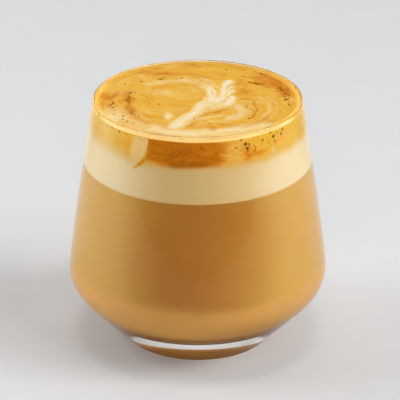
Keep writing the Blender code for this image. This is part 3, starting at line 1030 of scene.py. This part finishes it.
def side_bubbles(angle, height, seed):
    """Dark round bubbles against the glass, as a field from 0 to 1. Angle in degrees, height in mm."""
    rng = np.random.RandomState(seed)
    places = list(SIDE_BUBBLES)
    for middle, level, spread, rise, count, largest in SIDE_GROUPS:
        for _ in range(count):
            place = middle + rng.normal(0, spread), min(level + rng.normal(0, rise), HIGHEST_BUBBLE)
            places.append((*place, largest * rng.uniform(0.5, 1.0)))
    field = np.zeros_like(angle)
    for a, z, r in places:
        inside = r + 0.20 - np.hypot(angle_off(angle, a) * MM_A_DEGREE, height - z)
        field = np.maximum(field, min(r / 0.26, 1) * step(inside, 0, 0.24))
    return field


class FLATWHITE_OT_crema(bpy.types.Operator):
    """Top the drink with marbled crema and the poured leaf"""

    bl_idname = "flatwhite.crema"
    bl_label = "Crema"

    def execute(self, context):
        drink, inner = drink_and_wall(context)
        edge_top, edge_bottom = drink.level, drink.crema_edge
        rim = inner.at(edge_top) + EMBED
        obj = start_ring(rim, drink.level, DISC_STEPS, "NOTHING")
        bpy.ops.mesh.fill_grid(span=DISC_SPAN)
        bpy.ops.object.mode_set(mode="OBJECT")
        co = points_of(obj.data)
        x, y = co[:, 0] / MM, co[:, 1] / MM
        from_wall = rim - np.hypot(co[:, 0], co[:, 1])
        _, stain, leaf = top_pattern(x, y, rim / MM)
        stream = stream_field(x, y, rim / MM)
        uneven = 0.05 * np.sin(stream * 1.9 + wander(x, y, 8, 40)) + 0.05 * wander(x, y, 6, 41)
        inside = step(from_wall, 0, 0.002)
        co[:, 2] += inside * (leaf * drink.leaf_rise + (uneven - 0.06 * stain) * MM)
        place_points(obj.data, co)
        edit_all()
        bpy.ops.mesh.region_to_loop()
        side = [(r + EMBED, z) for r, z in inner.points(edge_top, edge_bottom, CREMA_STEPS)]
        last = draw_on(side[1:], side[0])
        last = draw_on([(last[0] * k, last[1]) for k in INNER_RINGS], last)
        close_pole(edge_bottom, last)
        look = crema_material(context.scene.flat_white_finish)
        finish_piece(obj, "crema_top", "crema", look)
        co = points_of(obj.data)
        on_wall = wave_edge(co, inner, edge_top, edge_bottom)
        round_edge(co, on_wall, inner, drink)
        place_points(obj.data, co)
        self.store_pattern(obj.data, co, on_wall, inner, drink)
        return {"FINISHED"}

    def store_pattern(self, mesh, co, on_wall, inner, drink):
        """Keep the pattern of the top and of the side on the mesh, joined where the two meet."""
        x, y, z = (co / MM).T
        angle = angle_of(co)
        rim = inner.at(drink.level) / MM
        milk, stain, _ = top_pattern(x, y, rim)
        side_milk, side_stain = side_pattern(angle, z)
        share = on_wall * step((drink.level + rim_lift(angle, drink)) / MM - z, 0, 0.4)
        store(
            mesh,
            milk=milk * (1 - share) + side_milk * share,
            stain=stain * (1 - share) + side_stain * share,
            stream=np.where(on_wall, side_stream(co, inner, drink), stream_field(x, y, rim)),
            edge=np.where(on_wall, above_edge(angle, z), FAR_ABOVE_EDGE),
            pit=side_bubbles(angle, z, drink.bubbles) * share,
        )


TOP_BUBBLES = (
    # middle x, y and radius in millimetres
    (-28.7, -3.0, 0.42), (-29.2, -4.3, 0.34), (-28.6, -7.7, 0.40), (-29.9, -5.6, 0.22), (-28.0, -13.3, 0.34),
    (-24.8, -14.9, 0.46), (-25.0, -17.4, 0.26), (-23.4, -19.6, 0.26), (-21.4, -21.0, 0.22), (-25.2, 14.1, 0.40),
    (-19.7, 16.9, 0.40), (-13.0, 18.6, 0.38), (-12.3, 19.4, 0.26), (-11.6, 21.0, 0.28), (-5.8, 19.9, 0.34),
    (-5.2, 20.6, 0.20), (-8.3, 28.3, 0.30), (10.1, 28.3, 0.28), (28.4, 10.9, 0.52), (28.9, 9.7, 0.34),
    (29.3, 8.6, 0.24), (31.2, 9.4, 0.26), (30.1, 5.2, 0.36), (31.1, 4.0, 0.40), (29.8, 2.2, 0.20),
    (30.1, 0.2, 0.50), (29.6, -0.6, 0.42), (30.9, -4.5, 0.34), (31.3, -5.7, 0.22), (20.0, 15.4, 0.42),
    (20.7, 14.6, 0.34), (22.2, 24.6, 0.40), (21.4, 26.6, 0.26), (24.8, 23.0, 0.22), (16.5, -6.1, 0.32),
    (18.7, -10.0, 0.26), (17.0, -16.9, 0.30), (4.0, -21.0, 0.30), (-1.2, -17.2, 0.30), (-13.3, -4.1, 0.26),
    (-23.3, 1.2, 0.40), (-22.9, 6.6, 0.36), (-23.4, 5.6, 0.30), (-23.2, -1.0, 0.30), (-22.0, -12.6, 0.30),
    (-17.6, 2.7, 0.24), (2.2, 0.6, 0.16), (13.0, -14.4, 0.18), (-16.0, -9.4, 0.16), (8.4, 21.6, 0.16),
)
BUBBLE_GROUPS = (
    # middle x, y, spread x, y, count, largest radius, all in millimetres
    (-23.2, 2.0, 0.8, 4.2, 16, 0.28), (-22.6, -12.0, 1.4, 3.0, 12, 0.26), (-28.2, -5.5, 1.2, 2.4, 8, 0.24),
    (-13.0, 18.8, 3.6, 1.2, 12, 0.24), (30.2, 4.0, 1.0, 4.4, 14, 0.26), (18.2, -9.0, 0.8, 4.4, 8, 0.22),
    (-19.0, -20.5, 3.0, 1.8, 10, 0.20), (-26.0, 16.0, 2.6, 1.6, 6, 0.22), (0.0, 0.0, 20.0, 20.0, 40, 0.16),
)
CLEAR_OF_WALL, CLEAR_OF_LEAF = 1.6, 0.8
DOME_WIDTH, DOME_HEIGHT, DOME_SUNK = 1.15, 0.85, 0.35  # in radii of the bubble
DOME_SEGMENTS, DOME_RINGS = 14, 8


def bubble_places(seed, rim):
    """Middle and radius of each bubble on the top, in millimetres, clear of the leaf and of each other."""
    rng = np.random.RandomState(seed)
    placed = list(TOP_BUBBLES)
    for cx, cy, sx, sy, count, largest in BUBBLE_GROUPS:
        for _ in range(count):
            x, y = cx + rng.normal(0, sx), cy + rng.normal(0, sy)
            r = largest * rng.uniform(0.45, 1.0)
            here = np.array([x]), np.array([y])
            if math.hypot(x, y) > rim - CLEAR_OF_WALL or outline_depth(*here, LEAF)[0] > -CLEAR_OF_LEAF:
                continue
            if all(math.hypot(x - px, y - py) > r + pr for px, py, pr in placed):
                placed.append((x, y, r))
    return placed


class FLATWHITE_OT_bubbles(bpy.types.Operator):
    """Set the larger bubbles into the drink's top"""

    bl_idname = "flatwhite.bubbles"
    bl_label = "Bubbles"

    def execute(self, context):
        drink, inner = drink_and_wall(context)
        rim = inner.at(drink.level) / MM
        bpy.ops.object.select_all(action="DESELECT")
        bpy.ops.mesh.primitive_uv_sphere_add(
            segments=DOME_SEGMENTS, ring_count=DOME_RINGS, radius=MM, location=(0, 0, 0))
        pattern = context.object
        domes = []
        for x, y, r in bubble_places(drink.bubbles, rim):
            bpy.ops.object.select_all(action="DESELECT")
            pattern.select_set(True)
            context.view_layer.objects.active = pattern
            bpy.ops.object.duplicate(linked=False)
            dome = context.object
            dome.location = (x * MM, y * MM, drink.level - DOME_SUNK * r * MM)
            dome.scale = (r * DOME_WIDTH, r * DOME_WIDTH, r * DOME_HEIGHT)
            domes.append(dome)
        bpy.data.objects.remove(pattern)
        for dome in domes:
            dome.select_set(True)
        context.view_layer.objects.active = domes[0]
        bpy.ops.object.join()
        apply_transform()
        bpy.ops.object.mode_set(mode="EDIT")
        obj = context.object
        look = bubble_material(context.scene.flat_white_finish)
        finish_piece(obj, "crema_bubbles", None, look)
        return {"FINISHED"}


# Stage

ROOM_TO_CAMERA = (0.75, 0.75, 0.75)  # what the camera itself sees of the world
LIGHT_AIM = (0, 0, 0.045)
LIGHTS = (
    # name, place, side of the square lamp, watts
    ("light_left", (-0.8, 0.1, 0.9), 0.45, 2.65),
    ("light_right", (0.8, 0.1, 0.9), 0.45, 1.7),
    ("light_top", (0.0, 0.0, 1.2), 0.3, 1.75),
    ("light_front", (0.0, -0.9, 0.6), 0.5, 1.7),
)
SOFT_BOXES = (
    # direction from straight behind the glass, half width, lower and upper height in degrees, brightness
    (100, 12.5, 32, 50, 10.0), (125, 12.5, 32, 50, 4.8), (-75, 15, 5, 18, 8.2), (0, 30, 0, 15, 1.25),
    (0, 34, 15, 24, 0.6), (0, 38, 24, 38, 0.95), (0, 50, 38, 60, 0.88), (-45, 15, 0, 45, 0.44),
)
FADE_UP, FADE_ROUND = 3, 5  # half the soft edges of the boxes, in degrees
FLOOR_SIZE, FLOOR_PLACE = 4.0, (0, 0.4, 0)
CAMERA_PLACE = (0.000784, -0.6003, 0.3284)
CAMERA_AIM = 0.04917  # height that the camera looks at, straight ahead of it
CAMERA_LENS = 170.7
NEAREST_SEEN, FARTHEST_SEEN = 0.01, 20.0


def facing(direction):
    """Rotation of a lamp or camera that points in a direction."""
    return direction.to_track_quat("-Z", "Y").to_euler()


def soft_light(name, place, size, power):
    """Square lamp that points at the glass."""
    bpy.ops.object.light_add(type="AREA", location=place)
    light = bpy.context.object
    light.name = name
    light.rotation_euler = facing(Vector(LIGHT_AIM) - Vector(place))
    light.data.shape = "SQUARE"
    light.data.size = size
    light.data.energy = power


def set_world(scene):
    """Dark room with soft boxes round the glass, and plain pale to the camera itself."""
    world = bpy.data.worlds.new("studio")
    world.use_nodes = True
    scene.world = world
    n = Nodes(world.node_tree)
    x, y, z = n.add("SeparateXYZ", Vector=n.add("TexCoord").outputs["Generated"]).outputs
    azimuth = n.times(n.maths("ARCTAN2", x, y), 180 / math.pi)
    height = n.times(n.maths("ARCSINE", z), 180 / math.pi)
    brightness = 0.0
    for direction, half_width, low, high, strength in SOFT_BOXES:
        off = n.maths("ABSOLUTE", n.maths("WRAP", n.maths("SUBTRACT", azimuth, direction), 180.0, -180.0))
        box = n.times(
            n.rise(height, low - FADE_UP, low + FADE_UP), n.rise(height, high + FADE_UP, high - FADE_UP),
            n.rise(off, half_width + FADE_ROUND, half_width - FADE_ROUND))
        brightness = n.maths("MULTIPLY_ADD", box, strength, brightness)
    room = n.add("CombineXYZ", X=brightness, Y=brightness, Z=brightness).outputs[0]
    seen = n.add("LightPath").outputs["Is Camera Ray"]
    background = world.node_tree.nodes["Background"]
    n.feed(background.inputs["Color"], n.blend(seen, room, ROOM_TO_CAMERA))
    background.inputs["Strength"].default_value = 1.0


class FLATWHITE_OT_stage(bpy.types.Operator):
    """Lay the pale floor, hang the soft lights and set the camera"""

    bl_idname = "flatwhite.stage"
    bl_label = "Stage"

    def execute(self, context):
        scene = context.scene
        bpy.ops.object.select_all(action="DESELECT")
        bpy.ops.mesh.primitive_plane_add(size=FLOOR_SIZE, location=FLOOR_PLACE)
        apply_transform()
        floor = context.object
        floor.name = "floor"
        floor.data.materials.append(floor_material(scene.flat_white_finish))
        for light in LIGHTS:
            soft_light(*light)
        set_world(scene)
        bpy.ops.object.camera_add(location=CAMERA_PLACE)
        camera = context.object
        _, y, z = CAMERA_PLACE
        camera.rotation_euler = facing(Vector((0, -y, CAMERA_AIM - z)))
        camera.data.sensor_width = 36.0
        camera.data.lens = CAMERA_LENS
        camera.data.clip_start, camera.data.clip_end = NEAREST_SEEN, FARTHEST_SEEN
        scene.camera = camera
        scene.view_settings.view_transform = "Standard"
        return {"FINISHED"}


class FLATWHITE_PT_panel(bpy.types.Panel):
    """The pieces of the flat white, in the order they are made"""

    bl_label = "Flat white"
    bl_idname = "FLATWHITE_PT_panel"
    bl_space_type = "VIEW_3D"
    bl_region_type = "UI"
    bl_category = "Flat white"

    def draw(self, context):
        for maker in MAKERS:
            self.layout.operator(maker.bl_idname)
        for group_name in GROUPS:
            group = getattr(context.scene, group_name)
            for name in group.__annotations__:
                self.layout.prop(group, name)


MAKERS = (
    FLATWHITE_OT_glass, FLATWHITE_OT_coffee, FLATWHITE_OT_milk_foam,
    FLATWHITE_OT_crema, FLATWHITE_OT_bubbles, FLATWHITE_OT_stage,
)
GROUPS = {"flat_white_glass": GlassSizes, "flat_white_drink": DrinkSizes, "flat_white_finish": Finishes}
CLASSES = (*GROUPS.values(), *MAKERS, FLATWHITE_PT_panel)


def register():
    for cls in CLASSES:
        bpy.utils.register_class(cls)
    for name, group in GROUPS.items():
        setattr(bpy.types.Scene, name, PointerProperty(type=group))


def unregister():
    for name in GROUPS:
        delattr(bpy.types.Scene, name)
    for cls in reversed(CLASSES):
        bpy.utils.unregister_class(cls)


def main():
    """Make every piece and the stage."""
    register()
    bpy.ops.flatwhite.glass()
    bpy.ops.flatwhite.coffee()
    bpy.ops.flatwhite.milk_foam()
    bpy.ops.flatwhite.crema()
    bpy.ops.flatwhite.bubbles()
    bpy.ops.flatwhite.stage()


if __name__ == "__main__":
    main()
